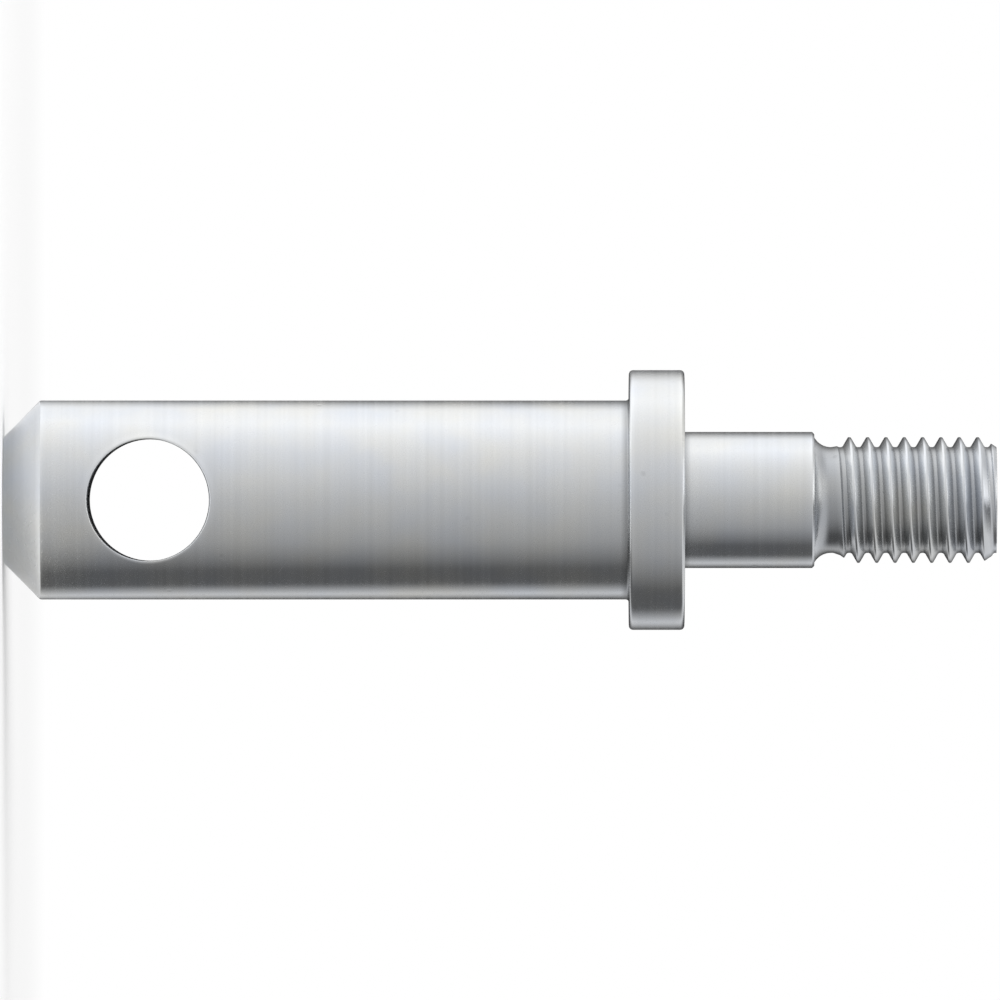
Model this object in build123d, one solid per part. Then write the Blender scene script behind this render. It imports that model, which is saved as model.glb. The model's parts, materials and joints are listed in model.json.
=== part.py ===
from build123d import *

import math
import os

# A threaded clevis pin, turned from one bar of steel and drilled once across.
# The shank goes through the eye of a linkage and is held there by a linch pin in the cross hole.
# The collar stops the eye. The shoulder fills the hole of a plate, and a nut on the thread clamps
# the plate to the collar.
#
# Millimetres. The pin stands on its tip: z = 0 is the flat face of the tip, +Z runs along the pin's
# axis to the threaded end, and the cross hole runs along Y.

# Shank
SHANK_DIAMETER = 19.0
TIP_CHAMFER = 3.5  # at 45 degrees
TIP_LAND = 4.6  # full diameter left between the tip chamfer and the cross hole
CROSS_HOLE_DIAMETER = 11.6
CROSS_HOLE_CHAMFER = 0.3
GRIP_LENGTH = 40.0  # from the cross hole's near edge to the collar

# Collar
COLLAR_RIM = 2.9  # how far the collar stands out around the shank
COLLAR_THICKNESS = 5.3
COLLAR_EDGE_RADIUS = 0.4
COLLAR_FILLET = 0.3  # in the shank's corner only: the shoulder's is sharp, so that a plate seats flat

# Shoulder
SHOULDER_STEP = 0.5  # how far the shoulder stands out around the thread
SHOULDER_LENGTH = 12.4
SHOULDER_CHAMFER = 0.2  # at 45 degrees

# Thread, M12 x 1.75
THREAD_DIAMETER = 12.0
THREAD_PITCH = 1.75
THREAD_LENGTH = 14.2  # with the lead-in chamfer
LEAD_IN_LENGTH = 1.4  # the chamfer runs down to the thread's root over this length
RELIEF_WIDTH = 3.2  # round groove between the shoulder and the thread

# ISO metric threads: the depth from crest to root is 5/8 of the height of the full 60 degree profile
THREAD_DEPTH = THREAD_PITCH * math.cos(math.radians(30)) * 5 / 8

# Radii, from the tip to the threaded end
shank_radius = SHANK_DIAMETER / 2
tip_radius = shank_radius - TIP_CHAMFER
collar_radius = shank_radius + COLLAR_RIM
thread_radius = THREAD_DIAMETER / 2
shoulder_radius = thread_radius + SHOULDER_STEP
root_radius = thread_radius - THREAD_DEPTH

# Heights above the tip's face
hole_z = TIP_CHAMFER + TIP_LAND + CROSS_HOLE_DIAMETER / 2
collar_z = hole_z + CROSS_HOLE_DIAMETER / 2 + GRIP_LENGTH
shoulder_z = collar_z + COLLAR_THICKNESS
relief_z = shoulder_z + SHOULDER_LENGTH
thread_z = relief_z + RELIEF_WIDTH
end_z = thread_z + THREAD_LENGTH
lead_in_z = end_z - LEAD_IN_LENGTH


def turned_bar():
    """The pin as it leaves the lathe: its half-section, with X as radius, revolved around the axis."""
    corners = [
        # (radius, height), and the fillet at that corner
        ((tip_radius, 0), 0),
        ((shank_radius, TIP_CHAMFER), 0),
        ((shank_radius, collar_z), COLLAR_FILLET),
        ((collar_radius, collar_z), COLLAR_EDGE_RADIUS),
        ((collar_radius, shoulder_z), COLLAR_EDGE_RADIUS),
        ((shoulder_radius, shoulder_z), 0),
        ((shoulder_radius, relief_z - SHOULDER_CHAMFER), 0),
        ((shoulder_radius - SHOULDER_CHAMFER, relief_z), 0),
    ]
    relief_start = (thread_radius, relief_z)
    relief_bottom = (root_radius, relief_z + RELIEF_WIDTH / 2)
    relief_end = (thread_radius, thread_z)
    points = [point for point, _ in corners]
    fillets = [radius for _, radius in corners]
    outline = FilletPolyline((0, 0), *points, relief_start, radius=fillets)
    outline += ThreePointArc(relief_start, relief_bottom, relief_end)
    outline += Polyline(relief_end, (thread_radius, lead_in_z), (root_radius, end_z), (0, end_z), (0, 0))
    return revolve(Plane.XZ * make_face(outline), Axis.Z)


def cross_drill(bar):
    """Drills the linch pin's hole through the shank and breaks its two saddle-shaped rims."""
    drill = Pos(0, 0, hole_z) * Rot(90, 0, 0) * Cylinder(CROSS_HOLE_DIAMETER / 2, 2 * SHANK_DIAMETER)
    drilled = bar - drill
    hole_walls = [face for face in drilled.faces().filter_by(GeomType.CYLINDER) if face.is_circular_concave]
    rims = ShapeList(hole_walls).edges().filter_by(GeomType.LINE, reverse=True)
    return chamfer(rims, CROSS_HOLE_CHAMFER)


os.makedirs("parts", exist_ok=True)
export_step(cross_drill(turned_bar()), "parts/clevis_pin.step")
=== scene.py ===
import json
import math

import bmesh
import bpy
import numpy as np
from mathutils import Matrix, Vector


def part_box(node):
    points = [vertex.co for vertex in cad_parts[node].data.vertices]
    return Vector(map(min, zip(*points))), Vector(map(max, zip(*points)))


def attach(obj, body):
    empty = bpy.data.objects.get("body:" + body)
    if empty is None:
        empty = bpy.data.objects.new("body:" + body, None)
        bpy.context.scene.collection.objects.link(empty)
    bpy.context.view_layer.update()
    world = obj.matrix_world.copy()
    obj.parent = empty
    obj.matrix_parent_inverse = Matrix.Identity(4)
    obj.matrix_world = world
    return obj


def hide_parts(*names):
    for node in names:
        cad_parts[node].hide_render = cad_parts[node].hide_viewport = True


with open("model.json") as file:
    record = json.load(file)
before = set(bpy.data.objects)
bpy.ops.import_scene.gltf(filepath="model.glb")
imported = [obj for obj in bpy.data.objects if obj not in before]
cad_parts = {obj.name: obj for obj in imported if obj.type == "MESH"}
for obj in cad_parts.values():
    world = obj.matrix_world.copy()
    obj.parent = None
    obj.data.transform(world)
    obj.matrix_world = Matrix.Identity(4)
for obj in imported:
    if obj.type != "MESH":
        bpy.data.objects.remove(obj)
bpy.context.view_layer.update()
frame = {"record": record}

# A threaded clevis pin of turned, zinc-plated steel. One piece replaces the solid: it has the same form,
# with the helix cut into the thread and a small radius on every edge.
#
# Metres. The pin stands on its tip: z = 0 is the flat face of the tip, +Z runs to the threaded end, and
# the cross hole runs along Y.

MM = 0.001

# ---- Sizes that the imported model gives

MOUNTS = {mount["name"]: mount for mount in frame["record"]["mounts"]}


def mount_radius(name):
    return MOUNTS[name]["dims"]["r_mm"] * MM


def mount_z(name, side=0):
    """Height of a mount's middle, or of its upper (1) or lower (-1) end."""
    return MOUNTS[name]["pos_m"][2] + side * MOUNTS[name]["dims"].get("length_mm", 0) * MM / 2


SHANK_R = mount_radius("shank")
HOLE_R = mount_radius("cross_hole")
HOLE_Z = mount_z("cross_hole")
COLLAR_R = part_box("clevis_pin")[1].x
COLLAR_Z = mount_z("collar_eye_face")
SHOULDER_Z = mount_z("collar_plate_face")
SHOULDER_R = mount_radius("shoulder")
THREAD_R = mount_radius("thread")
THREAD_Z = mount_z("thread", -1)
LEAD_IN_Z = mount_z("thread", 1)
END_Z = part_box("clevis_pin")[1].z

# ---- Sizes that it doesn't

TIP_CHAMFER = 3.5 * MM
SHOULDER_CHAMFER = 0.2 * MM
RELIEF_WIDTH = 3.2 * MM
PITCH = 1.75 * MM
FLANK_ANGLE = math.radians(30)  # from square to the axis

TIP_R = SHANK_R - TIP_CHAMFER
THREAD_DEPTH = PITCH * math.cos(FLANK_ANGLE) * 5 / 8
ROOT_R = THREAD_R - THREAD_DEPTH
RELIEF_Z = THREAD_Z - RELIEF_WIDTH / 2  # the middle of the groove, where it is deepest
RELIEF_START_Z = THREAD_Z - RELIEF_WIDTH

# The thread's ridge: half of its flat crest, half of its foot, and its flank
CREST_HALF = PITCH / 16
FOOT_HALF = CREST_HALF + THREAD_DEPTH * math.tan(FLANK_ANGLE)
FLANK_LENGTH = THREAD_DEPTH / math.cos(FLANK_ANGLE)

# Radii of the edges
TIP_EDGE = 0.3 * MM
COLLAR_EDGE = 0.4 * MM
COLLAR_FILLET = 0.3 * MM
SMALL_EDGE = 0.08 * MM
HOLE_RIM = 0.3 * MM
CREST_EDGE = 0.04 * MM
ROOT_EDGE = 0.1 * MM

# ---- Mesh

COLUMNS = 256  # round the pin, divisible by 4
QUARTER = COLUMNS // 4
TURNS = np.arange(COLUMNS + 1) / COLUMNS
ARC_STEP = math.radians(15)
LONGEST_ROW = 3 * MM
RELIEF_ROWS = 28
HALVINGS = 24
END_RINGS = (1, 0.95, 0.6, 0.3, 0)  # rows of the end face, as shares of its radius
WELD = 0.001 * MM
NORMAL_WEIGHT = 100  # the most: a large face sets the normals that it shares with small ones

# The patch of the shank round each end of the cross hole
HOLE_MARGIN = 3 * MM  # above and below the hole
PATCH_REACH = QUARTER * 9 // 16  # columns to each side of the hole's middle
PATCH_ROWS = 12
PATCH_CROWDING = 1.6  # above 1, the rows crowd towards the rim
SIDE_ROWS = 37  # of the shank beside the patches, over their height
RIM_ROWS = 6
BORE_ROWS = 17

# How far the wear of an edge, or the painted shade of a hollow, reaches along the surface: a length, and a
# share of the stretch between edges
FADE = 0.5 * MM
FADE_SHARE = 0.45

# Wear of the thread, where an edge's is 1: at the top of a flank, and along the middle of the crest
FLANK_WORN = 0.8
CREST_WORN = 0.4

# ---- Finish

BLUE_ZINC = (0.66, 0.69, 0.74, 1)
WARM_ZINC = (0.72, 0.72, 0.70, 1)

# Patterns of noise: the size of their features along three axes, and their detail
CLOUDS = ((7 * MM, 7 * MM, 7 * MM), 3.0)  # warmer and bluer plating
BANDS = ((60 * MM, 60 * MM, 0.6 * MM), 2.0)  # uneven cuts of the tool, whose feed is the third axis
RINGS = ((22 * MM, 22 * MM, 0.16 * MM), 3.0)  # the tool's single turns
SCRATCHES = ((0.12 * MM, 0.12 * MM, 7 * MM), 0.0)
NOISE_RANGE = (0.3, 0.7)  # most of the noise lies between these
SCRATCH_RANGE = (0.74, 0.80)  # only its peaks are scratches: none below these, in full above them
SCRATCH_TILTS = ((0.5, 0.3, 0.2), (-0.9, 0.7, 1.1))
DENT_SPACING = 4 * MM
DENT_RANGE = (0.02, 0.09)  # from a dent's flat middle to its rim, as shares of the spacing

# What each mark adds to the zinc's brightness, to its roughness and to the height that bump is made from. The
# hollows' loss of brightness is painted shade; their extra roughness is the plating's.
SHADE_RANGE = (0.97, 1.03)  # from band to band
SHADE = {"recess_and_shade": -0.35, "worn": 0.08, "dents": -0.12}
ROUGH_RANGE = (0.15, 0.22)  # from band to band
ROUGH = {"clouds": 0.06, "recess_and_shade": 0.05, "worn": -0.04, "scratches": 0.08}
HEIGHT = {"rings": 1.0, "bands": 0.6, "scratches": -0.5, "dents": -2.5}
BUMP = 0.004 * MM
ANISOTROPY = 0.3
ANISOTROPY_TURN = 0.25  # of a full turn, so that highlights stretch across the rings
FACE_NORMAL = 0.95  # the least upright part of the normal on a flat face

# ---- The set

FLOOR_SIZE = 8.0
FLOOR_Z = -0.02 * MM
FLOOR_COLOUR = (0.88, 0.88, 0.88, 1)
FLOOR_LIFT = 0.16  # light of its own that the floor has where it is seen, and which lights nothing
FLOOR_NEAR = 90 * MM  # the floor turns from paint to plain white between these distances
FLOOR_FAR = 260 * MM
AMBIENT = 0.6  # the world's strength as a light, where as a background it is 1

KEY_PLACE = (-0.22, -0.2, 0.65)
KEY_SIDE = 0.4
KEY_RADIANCE = 4.0

# The drum is a funnel with a ceiling. Its greys go by the angle round the pin: 0 is the camera's side,
# 90 the picture's top, 180 behind the pin. The ceiling is bright towards the picture's top.
DRUM_FOOT_R = 0.028
DRUM_TOP_R = 0.15
DRUM_HEIGHT = 0.2
DRUM_GREYS = {
    -170: 0.0, -150: 0.15, -130: 0.75, -105: 0.12, -80: 0.12, -45: 0.4, 0: 0.62,
    50: 0.95, 90: 1.3, 120: 1.2, 145: 0.35, 170: 0.0,
}
CEILING_BRIGHT = 1.25
CEILING_DARK = 0.08
CEILING_FADE = 0.011  # half the width over which bright turns to dark
CEILING_RIM = 0.75
CEILING_RIM_R = 0.08
CEILING_Z = 0.15  # from here up the ceiling's greys hold

LENS = 1000  # in millimetres: so long that the view is nearly parallel
PHOTO_WIDTH = 95.49 * MM  # what the picture spans at the pin
CLIP_END = 20


# ---- The surface, as grids of points (x, y, z, wear, painted shade of hollows) that are welded at the end


def chamfered_bar(z):
    """Radius of the threaded end before anything is cut into it: major diameter and lead-in chamfer."""
    chamfer = THREAD_R - THREAD_DEPTH * (z - LEAD_IN_Z) / (END_Z - LEAD_IN_Z)
    return np.clip(chamfer, ROOT_R, THREAD_R)


def envelope(z):
    """Its radius once the relief groove is cut, before the thread is."""
    half = RELIEF_WIDTH / 2
    arc_radius = (half**2 + THREAD_DEPTH**2) / (2 * THREAD_DEPTH)
    off = np.clip(z - RELIEF_Z, -half, half)
    relief = ROOT_R + arc_radius - np.sqrt(arc_radius**2 - off**2)
    return np.minimum(relief, chamfered_bar(z))


def depth_share(z, r):
    """How deep a point of the threaded end lies: 0 on the bar's surface, 1 at the thread's root."""
    return (chamfered_bar(z) - r) / THREAD_DEPTH


def rounded(corners):
    """Profile points (r, z, wear, painted shade of a hollow) through corners (r, z, radius), each corner an
    arc.
    """
    points = [(*corners[0][:2], 0.0, 0.0)]
    for before, corner, after in zip(corners, corners[1:], corners[2:]):
        points += rounded_corner(*[np.array(place[:2]) for place in (before, corner, after)], corner[2])
    return points + [(*corners[-1][:2], 0.0, 0.0)]


def rounded_corner(before, here, after, radius):
    """The arc of one corner, worn where it sticks out and given painted shade where it is hollow, and a point
    to each side of it where that has faded.
    """
    back, ahead = before - here, after - here
    back_length, ahead_length = np.linalg.norm(back), np.linalg.norm(ahead)
    back, ahead = back / back_length, ahead / ahead_length
    turn = math.pi - math.acos(np.clip(back @ ahead, -1, 1))
    reach = radius * math.tan(turn / 2)
    centre = here + (back + ahead) / np.linalg.norm(back + ahead) * math.hypot(reach, radius)
    arc = arc_points(centre, here + back * reach, here + ahead * reach, turn)
    convex = back[1] * ahead[0] - back[0] * ahead[1] > 0
    # A hollow corner gets painted shade in its colour, and more roughness.
    worn, recess_and_shade = (1.0, 0.0) if convex else (0.0, 1.0)
    fade_in = here + back * min(reach + FADE, back_length * FADE_SHARE)
    fade_out = here + ahead * min(reach + FADE, ahead_length * FADE_SHARE)
    return [(*fade_in, 0.0, 0.0), *[(*point, worn, recess_and_shade) for point in arc], (*fade_out, 0.0, 0.0)]


def arc_points(centre, start, end, turn):
    """Points from start to end round a centre, through an angle in even steps."""
    start, end = start - centre, end - centre
    steps = max(2, math.ceil(turn / ARC_STEP))
    made = []
    for step in range(steps + 1):
        share = step / steps
        blend = math.sin((1 - share) * turn) * start + math.sin(share * turn) * end
        made.append(centre + blend / math.sin(turn))
    return made


def subdivided(points):
    """The profile with no stretch longer than LONGEST_ROW."""
    made = [points[0]]
    for a, b in zip(points, points[1:]):
        steps = max(1, math.ceil(math.dist(a[:2], b[:2]) / LONGEST_ROW))
        along = np.array(b) - np.array(a)
        made += [tuple(np.array(a) + along * step / steps) for step in range(1, steps + 1)]
    return made


def revolved(points, columns=range(COLUMNS + 1)):
    """Grid of a profile turned about the axis, over the columns asked for."""
    angles = np.array(columns) * (2 * math.pi / COLUMNS)
    profile = np.array(points)
    grid = np.empty((len(profile), len(angles), 5))
    grid[..., 0] = np.outer(profile[:, 0], np.cos(angles))
    grid[..., 1] = np.outer(profile[:, 0], np.sin(angles))
    grid[..., 2] = profile[:, 1, None]
    grid[..., 3:] = profile[:, None, 2:]
    return grid


# ---- The thread: a helical ridge. Its middle rises by one pitch over the columns of a row, and a side is
# -1 towards the tip and 1 away from it


def on_flank(middle, side, share):
    """z and r of the point at a share of a flank's height."""
    z = middle + side * (FOOT_HALF + (CREST_HALF - FOOT_HALF) * share)
    return z, ROOT_R + THREAD_DEPTH * share


def cut_share(middle, side):
    """Share of a flank's height at which the relief or the lead-in cuts it, found by halving."""
    low, high = np.zeros_like(middle), np.ones_like(middle)
    for _ in range(HALVINGS):
        half = (low + high) / 2
        z, r = on_flank(middle, side, half)
        inside = r < envelope(z)
        low, high = np.where(inside, half, low), np.where(inside, high, half)
    return low


def thread_row(z, r, worn):
    """One turn of points, kept inside the envelope. Its wear fades where the thread runs out, and its painted
    shade deepens towards the root.
    """
    z = np.clip(z, RELIEF_Z, END_Z)
    r = np.minimum(r, envelope(z))
    fade = (envelope(z) - ROOT_R) / THREAD_DEPTH
    angle = TURNS * 2 * math.pi
    return np.stack([r * np.cos(angle), r * np.sin(angle), z, worn * fade, depth_share(z, r)], axis=1)


def flank_rows(middle, side):
    """The rows of one flank, from the root's edge up to the crest's."""
    cut = cut_share(middle, side)
    base_z, base_r = on_flank(middle, side, np.minimum(ROOT_EDGE / FLANK_LENGTH, cut / 2))
    edge_z, edge_r = on_flank(middle, side, np.maximum(cut - CREST_EDGE / FLANK_LENGTH, cut / 2))
    crest_z = on_flank(middle, side, cut)[0] - side * CREST_EDGE
    return [
        thread_row(middle + side * (FOOT_HALF + ROOT_EDGE), ROOT_R, 0.0),
        thread_row(base_z, base_r, 0.0),
        thread_row(edge_z, edge_r, FLANK_WORN),
        thread_row(crest_z, THREAD_R, 1.0),
    ]


def thread_grid():
    """The thread, cut by the relief groove at its start and by the lead-in at its end.

    The ridge starts a turn and a half before the groove's middle and runs past the end face, and each row
    folds what lies outside of these into its ends.
    """
    ridges = math.ceil((END_Z - RELIEF_Z) / PITCH) + 3
    rows = []
    for ridge in range(ridges):
        middle = RELIEF_Z + (ridge - 1.5 + TURNS) * PITCH
        rows.append(thread_row(middle - PITCH / 2, ROOT_R, 0.0))
        rows += flank_rows(middle, -1)
        rows.append(thread_row(middle, THREAD_R, CREST_WORN))
        rows += reversed(flank_rows(middle, 1))
    return np.array(rows)


# ---- The cross hole: a patch of the shank round each end, from lathe grid to circle, and the bore between


def patch_outline(heights):
    """x and z of a patch's outer edge, once round: the points that it shares with the lathe's grid."""
    columns = QUARTER + np.arange(PATCH_REACH, -PATCH_REACH - 1, -1)
    across = np.cos(columns * (2 * math.pi / COLUMNS)) * SHANK_R
    low, high = np.full_like(across, heights[0]), np.full_like(across, heights[-1])
    left, right = np.full_like(heights, across[0]), np.full_like(heights, across[-1])
    x = np.concatenate([across[:-1], right[:-1], across[:0:-1], left[::-1]])
    z = np.concatenate([low[:-1], heights[:-1], high[:0:-1], heights[::-1]])
    return x, z


def loop(point, worn, recess_and_shade):
    """One closed row of points about the hole."""
    return np.stack(np.broadcast_arrays(*point, worn, recess_and_shade), axis=1)


def on_shank(radius, angle):
    """The shank's surface at a distance and an angle about the hole's axis."""
    across = radius * np.cos(angle)
    return np.array([across, np.sqrt(SHANK_R**2 - across**2), HOLE_Z + radius * np.sin(angle)])


def patch_rows(angle, outer):
    """From the patch's outer edge in to the rim."""
    inner = HOLE_R + HOLE_RIM
    rows = []
    for share in np.linspace(1, 0, PATCH_ROWS) ** PATCH_CROWDING:
        radius = inner + (outer - inner) * share
        worn = np.clip(1 - (radius - inner) / FADE, 0, 1)
        rows.append(loop(on_shank(radius, angle), worn, 0.0))
    return rows


def rim_rows(angle, wall):
    """The rounded rim, a curve from the shank's surface to the wall of the bore. Its wear ends there."""
    lip, edge = on_shank(HOLE_R + HOLE_RIM, angle), on_shank(HOLE_R, angle)
    rows = []
    for share in np.linspace(0, 1, RIM_ROWS + 1)[1:]:
        point = (1 - share) ** 2 * lip + 2 * share * (1 - share) * edge + share**2 * wall
        rows.append(loop(point, 1 - share, 0.0))
    return rows


def cross_hole_grids(heights):
    """Both patches, with their rims, and the bore."""
    x, z = patch_outline(heights)
    angle = np.arctan2(z - HOLE_Z, x)
    outer = np.hypot(x, z - HOLE_Z)
    wall = on_shank(HOLE_R, angle) - np.array([0, HOLE_RIM, 0])[:, None]
    patch = np.array(patch_rows(angle, outer) + rim_rows(angle, wall))
    mirrored = patch * np.array([1, -1, 1, 1, 1])
    depths = np.linspace(1, -1, BORE_ROWS)
    # The bore's wall gets painted shade, darkest at its middle.
    bore = [loop((wall[0], wall[1] * depth, wall[2]), 0.0, 1 - abs(depth)) for depth in depths]
    return [patch, mirrored, np.array(bore)]


# ---- The pin


def tip_profile(top):
    """From the middle of the tip's face, over its chamfer, to a height on the shank."""
    return rounded([(0, 0, 0), (TIP_R, 0, TIP_EDGE), (SHANK_R, TIP_CHAMFER, TIP_EDGE), (SHANK_R, top, 0)])


def middle_profile(bottom):
    """From a height on the shank, over the collar and the shoulder, to the start of the relief."""
    return rounded(
        [
            (SHANK_R, bottom, 0),
            (SHANK_R, COLLAR_Z, COLLAR_FILLET),
            (COLLAR_R, COLLAR_Z, COLLAR_EDGE),
            (COLLAR_R, SHOULDER_Z, COLLAR_EDGE),
            (SHOULDER_R, SHOULDER_Z, SMALL_EDGE),
            (SHOULDER_R, RELIEF_START_Z - SHOULDER_CHAMFER, SMALL_EDGE),
            (SHOULDER_R - SHOULDER_CHAMFER, RELIEF_START_Z, SMALL_EDGE),
            (THREAD_R, RELIEF_START_Z, 0),
        ]
    )


def pin_grids():
    """Every grid of the pin's closed surface, from the tip's face to the threaded end's."""
    heights = np.linspace(HOLE_Z - HOLE_R - HOLE_MARGIN, HOLE_Z + HOLE_R + HOLE_MARGIN, SIDE_ROWS)
    beside = [(SHANK_R, z, 0.0, 0.0) for z in heights]
    starts = (QUARTER + PATCH_REACH, 3 * QUARTER + PATCH_REACH)
    sides = [range(start, start + 2 * (QUARTER - PATCH_REACH) + 1) for start in starts]
    groove = np.linspace(RELIEF_START_Z, RELIEF_Z, RELIEF_ROWS)
    # The groove gets painted shade that deepens with its depth.
    relief = [(envelope(z), z, 0.0, depth_share(z, envelope(z))) for z in groove]
    end = [(ROOT_R * share, END_Z, 0.0, 0.0) for share in END_RINGS]
    return [
        revolved(subdivided(tip_profile(heights[0]))),
        *[revolved(beside, side) for side in sides],
        *cross_hole_grids(heights),
        revolved(subdivided(middle_profile(heights[-1]))),
        revolved(relief),
        thread_grid(),
        revolved(end),
    ]


def welded(name, grids):
    """One object of welded grids, with attributes on its points for wear and for the painted shade of
    hollows.
    """
    mesh = bmesh.new()
    worn = mesh.verts.layers.float.new("worn")
    recess_and_shade = mesh.verts.layers.float.new("recess_and_shade")
    for grid in grids:
        made = []
        for line in grid:
            made.append([])
            for point in line:
                vertex = mesh.verts.new(point[:3])
                vertex[worn], vertex[recess_and_shade] = point[3], point[4]
                made[-1].append(vertex)
        for low, high in zip(made, made[1:]):
            for a, b, c, d in zip(low, low[1:], high[1:], high):
                mesh.faces.new((a, b, c, d))
    bmesh.ops.remove_doubles(mesh, verts=mesh.verts, dist=WELD)
    bmesh.ops.recalc_face_normals(mesh, faces=mesh.faces)
    for face in mesh.faces:
        face.smooth = True
    data = bpy.data.meshes.new(name)
    mesh.to_mesh(data)
    mesh.free()
    made = bpy.data.objects.new(name, data)
    bpy.context.scene.collection.objects.link(made)
    return made


# ---- Shader nodes


def node(tree, kind, inputs=(), **settings):
    """A new shader node, its inputs set from constants or other nodes' outputs."""
    made = tree.nodes.new(kind)
    for key, value in settings.items():
        setattr(made, key, value)
    for key, value in dict(inputs).items():
        if isinstance(value, bpy.types.NodeSocket):
            tree.links.new(value, made.inputs[key])
        else:
            made.inputs[key].default_value = value
    return made


def calculate(tree, operation, *values):
    return node(tree, "ShaderNodeMath", enumerate(values), operation=operation).outputs[0]


def added(tree, value, shares, marks):
    """A value plus its share of each mark."""
    for name, share in shares.items():
        value = calculate(tree, "MULTIPLY_ADD", marks[name], share, value)
    return value


def diagonal(tree, a, b):
    """The root of a and b squared and added."""
    squares = [calculate(tree, "MULTIPLY", side, side) for side in (a, b)]
    return calculate(tree, "SQRT", calculate(tree, "ADD", *squares))


def mixed(tree, share, a, b):
    return node(tree, "ShaderNodeMix", {0: share, 2: a, 3: b}).outputs[0]


def stretched(tree, coordinates, sizes):
    """Coordinates in which noise has features of these sizes."""
    scale = [1 / size for size in sizes]
    return node(tree, "ShaderNodeVectorMath", {0: coordinates, 1: scale}, operation="MULTIPLY").outputs[0]


def noise(tree, coordinates, pattern):
    """Noise in one of the patterns of the finish."""
    sizes, detail = pattern
    inputs = {"Vector": stretched(tree, coordinates, sizes), "Scale": 1.0, "Detail": detail}
    return node(tree, "ShaderNodeTexNoise", inputs).outputs["Fac"]


def ranged(tree, value, old, new):
    """A value brought from one range to another, and kept inside it."""
    inputs = {0: value, 1: old[0], 2: old[1], 3: new[0], 4: new[1]}
    return node(tree, "ShaderNodeMapRange", inputs).outputs[0]


def seen_directly(tree):
    """1 for a camera, glossy or transmission ray, otherwise 0."""
    path = node(tree, "ShaderNodeLightPath").outputs
    seen = calculate(tree, "MAXIMUM", path["Is Camera Ray"], path["Is Glossy Ray"])
    return calculate(tree, "MAXIMUM", seen, path["Is Transmission Ray"])


def new_material(name, keep_shader=False):
    """A material, its node tree and the tree's output socket."""
    material = bpy.data.materials.new(name)
    material.use_nodes = True
    tree = material.node_tree
    if not keep_shader:
        tree.nodes.remove(tree.nodes["Principled BSDF"])
    return material, tree, tree.nodes["Material Output"].inputs["Surface"]


# ---- The steel


def tool_coordinates(tree, position):
    """Coordinates whose third runs along the tool's feed: the axis, a face's radius, or the bore's depth."""
    x, y, z = node(tree, "ShaderNodeSeparateXYZ", {0: position}).outputs
    rise = calculate(tree, "SUBTRACT", z, HOLE_Z)
    in_bore = calculate(tree, "LESS_THAN", diagonal(tree, x, rise), HOLE_R + HOLE_RIM / 2)
    normal = node(tree, "ShaderNodeNewGeometry").outputs["True Normal"]
    upright = node(tree, "ShaderNodeSeparateXYZ", {0: normal}).outputs[2]
    on_face = calculate(tree, "GREATER_THAN", calculate(tree, "ABSOLUTE", upright), FACE_NORMAL)
    turned = mixed(tree, on_face, z, diagonal(tree, x, y))
    inputs = {0: x, 1: mixed(tree, in_bore, y, rise), 2: mixed(tree, in_bore, turned, y)}
    return node(tree, "ShaderNodeCombineXYZ", inputs).outputs[0]


def scratches(tree, position, tilt):
    """Fine straight scratches along one direction, few and short: 1 in a scratch, otherwise 0."""
    inputs = {"Vector": position, "Rotation": tilt}
    turned = node(tree, "ShaderNodeVectorRotate", inputs, rotation_type="EULER_XYZ").outputs[0]
    return ranged(tree, noise(tree, turned, SCRATCHES), SCRATCH_RANGE, (0, 1))


def dents(tree, position):
    """Shallow round knocks from the plating barrel, a few in each square centimetre."""
    inputs = {"Vector": stretched(tree, position, (DENT_SPACING,) * 3), "Scale": 1.0}
    distance = node(tree, "ShaderNodeTexVoronoi", inputs).outputs["Distance"]
    return ranged(tree, distance, DENT_RANGE, (1, 0))


def attribute(tree, name):
    return node(tree, "ShaderNodeAttribute", attribute_name=name).outputs["Fac"]


def steel_marks(tree):
    """All that varies over the steel, by name. Bands and rings are plain noise, the others go from 0 to 1."""
    position = node(tree, "ShaderNodeTexCoord").outputs["Object"]
    along_tool = tool_coordinates(tree, position)
    both_ways = [scratches(tree, position, tilt) for tilt in SCRATCH_TILTS]
    return {
        "clouds": ranged(tree, noise(tree, position, CLOUDS), NOISE_RANGE, (0, 1)),
        "bands": noise(tree, along_tool, BANDS),
        "rings": noise(tree, along_tool, RINGS),
        "scratches": calculate(tree, "MAXIMUM", *both_ways),
        "dents": dents(tree, position),
        "worn": attribute(tree, "worn"),
        "recess_and_shade": attribute(tree, "recess_and_shade"),
    }


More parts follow.
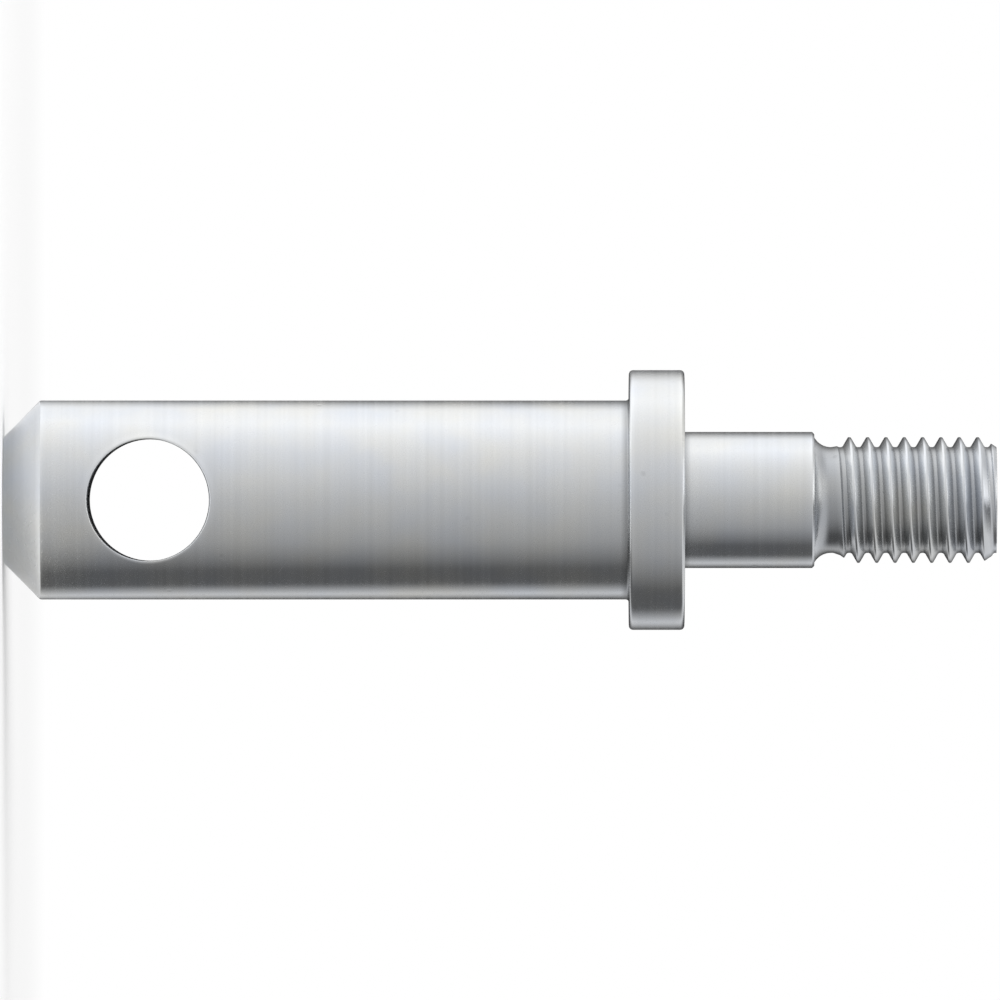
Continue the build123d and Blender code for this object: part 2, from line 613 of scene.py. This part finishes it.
def steel_material():
    """Turned steel under bright zinc: rings from the tool, clouds in the plating, handling marks, and painted
    shade in the hollows.
    """
    material, tree, _ = new_material("zinc_plated_steel", keep_shader=True)
    marks = steel_marks(tree)
    inputs = {0: marks["clouds"], 6: BLUE_ZINC, 7: WARM_ZINC}
    zinc = node(tree, "ShaderNodeMix", inputs, data_type="RGBA").outputs[2]
    # The darkening of the colour in hollows is painted shade.
    shade = added(tree, ranged(tree, marks["bands"], NOISE_RANGE, SHADE_RANGE), SHADE, marks)
    colour = node(tree, "ShaderNodeVectorMath", {0: zinc, 3: shade}, operation="SCALE").outputs[0]
    rough = added(tree, ranged(tree, marks["bands"], NOISE_RANGE, ROUGH_RANGE), ROUGH, marks)
    inputs = {"Strength": 1.0, "Distance": BUMP, "Height": added(tree, 0, HEIGHT, marks)}
    bump = node(tree, "ShaderNodeBump", inputs).outputs[0]
    tangent = node(tree, "ShaderNodeTangent", direction_type="RADIAL", axis="Z").outputs[0]

    shader = tree.nodes["Principled BSDF"].inputs
    shader["Metallic"].default_value = 1
    shader["Anisotropic"].default_value = ANISOTROPY
    shader["Anisotropic Rotation"].default_value = ANISOTROPY_TURN
    tree.links.new(colour, shader["Base Color"])
    tree.links.new(rough, shader["Roughness"])
    tree.links.new(bump, shader["Normal"])
    tree.links.new(tangent, shader["Tangent"])
    return material


def make_pin():
    """The whole pin. Its normals are weighted so that the flat and straight stretches stay true."""
    pin = welded("clevis_pin_body", pin_grids())
    pin.modifiers.new("even_normals", "WEIGHTED_NORMAL").weight = NORMAL_WEIGHT
    pin.data.materials.append(steel_material())
    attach(pin, "root")
    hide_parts("clevis_pin")


# ---- The floor and the world


def floor_material():
    """Pale and matt, with the object's shadow, running out to the background's white."""
    material, tree, surface = new_material("floor")
    seen = seen_directly(tree)
    position = node(tree, "ShaderNodeTexCoord").outputs["Object"]
    reach = node(tree, "ShaderNodeVectorMath", {0: position}, operation="LENGTH").outputs["Value"]
    inputs = {0: reach, 1: FLOOR_NEAR, 2: FLOOR_FAR}
    far = node(tree, "ShaderNodeMapRange", inputs, interpolation_type="SMOOTHSTEP").outputs[0]
    paint = node(tree, "ShaderNodeBsdfDiffuse", {"Color": FLOOR_COLOUR}).outputs[0]
    lifted = calculate(tree, "MULTIPLY", seen, FLOOR_LIFT)
    lift = node(tree, "ShaderNodeEmission", {"Strength": lifted}).outputs[0]
    near = node(tree, "ShaderNodeAddShader", {0: paint, 1: lift}).outputs[0]
    white = node(tree, "ShaderNodeEmission", {"Strength": 1.0}).outputs[0]
    inputs = {0: calculate(tree, "MULTIPLY", seen, far), 1: near, 2: white}
    tree.links.new(node(tree, "ShaderNodeMixShader", inputs).outputs[0], surface)
    return material


def make_floor():
    bpy.ops.mesh.primitive_plane_add(size=FLOOR_SIZE, location=(0, 0, FLOOR_Z))
    floor = bpy.context.object
    floor.name = "floor"
    floor.data.materials.append(floor_material())


def make_world():
    """White where it is seen or reflected, and a softer fill for everything else."""
    world = bpy.data.worlds.new("studio")
    world.use_nodes = True
    tree = world.node_tree
    sky = tree.nodes["Background"].inputs
    sky["Color"].default_value = (1, 1, 1, 1)
    tree.links.new(mixed(tree, seen_directly(tree), AMBIENT, 1.0), sky["Strength"])
    bpy.context.scene.world = world


# ---- The light


def make_key():
    """One large softbox, above and to the camera's side."""
    lamp = bpy.data.lights.new("key", "AREA")
    lamp.shape = "RECTANGLE"
    lamp.size = lamp.size_y = KEY_SIDE
    lamp.energy = KEY_RADIANCE * math.pi * KEY_SIDE**2
    key = bpy.data.objects.new("key", lamp)
    bpy.context.scene.collection.objects.link(key)
    key.location = KEY_PLACE
    aim = Vector((0, 0, END_Z / 2)) - key.location
    key.rotation_euler = aim.to_track_quat("-Z", "Y").to_euler()


def greys_round_pin(tree, position):
    """DRUM_GREYS by the angle about the axis. The gradient goes the other way, and is 0.25 at its 0."""
    turn = node(tree, "ShaderNodeTexGradient", {0: position}, gradient_type="RADIAL").outputs["Fac"]
    ramp = node(tree, "ShaderNodeValToRGB", {0: turn})
    stops = sorted(((0.25 - angle / 360) % 1, grey) for angle, grey in DRUM_GREYS.items())
    stops.append((1.0, stops[0][1]))
    elements = ramp.color_ramp.elements
    while len(elements) < len(stops):
        elements.new(0.5)
    for element, (place, grey) in zip(elements, stops):
        element.position = place
        element.color = (grey, grey, grey, 1)
    return ramp.outputs[0]


def drum_material():
    """It shines in its greys: those round the pin, and above the pin the ceiling's."""
    material, tree, surface = new_material("drum")
    position = node(tree, "ShaderNodeTexCoord").outputs["Object"]
    x, y, z = node(tree, "ShaderNodeSeparateXYZ", {0: position}).outputs
    above = ranged(tree, z, (END_Z, CEILING_Z), (0, 1))
    outside = ranged(tree, diagonal(tree, x, y), (CEILING_FADE, CEILING_RIM_R), (0, 1))
    middle = ranged(tree, x, (-CEILING_FADE, CEILING_FADE), (CEILING_BRIGHT, CEILING_DARK))
    ceiling = mixed(tree, outside, middle, CEILING_RIM)
    grey = mixed(tree, above, greys_round_pin(tree, position), ceiling)
    tree.links.new(node(tree, "ShaderNodeEmission", {"Strength": grey}).outputs[0], surface)
    return material


def make_drum():
    """Grey cloth hung round and over the set. Only shiny surfaces reflect it, for their light and dark."""
    profile = [(DRUM_FOOT_R, 0, 0, 0), (DRUM_TOP_R, DRUM_HEIGHT, 0, 0), (0, DRUM_HEIGHT, 0, 0)]
    drum = welded("drum", [revolved(profile)])
    drum.data.materials.append(drum_material())
    for ray in ("camera", "diffuse", "transmission", "volume_scatter", "shadow"):
        setattr(drum, f"visible_{ray}", False)


# ---- The camera


def make_camera():
    """A long lens at the pin's middle height, rolled so that the pin lies level in the picture."""
    data = bpy.data.cameras.new("camera")
    data.lens = LENS
    data.clip_end = CLIP_END
    camera = bpy.data.objects.new("camera", data)
    bpy.context.scene.collection.objects.link(camera)
    distance = PHOTO_WIDTH * data.lens / data.sensor_width
    right, up = Vector((0, 0, 1)), Vector((-1, 0, 0))
    turned = Matrix((right, up, right.cross(up))).transposed().to_4x4()
    camera.matrix_world = Matrix.Translation((0, -distance, END_Z / 2)) @ turned
    bpy.context.scene.camera = camera


make_camera()
make_pin()
make_floor()
make_world()
make_key()
make_drum()
bpy.context.scene.view_settings.view_transform = "Standard"
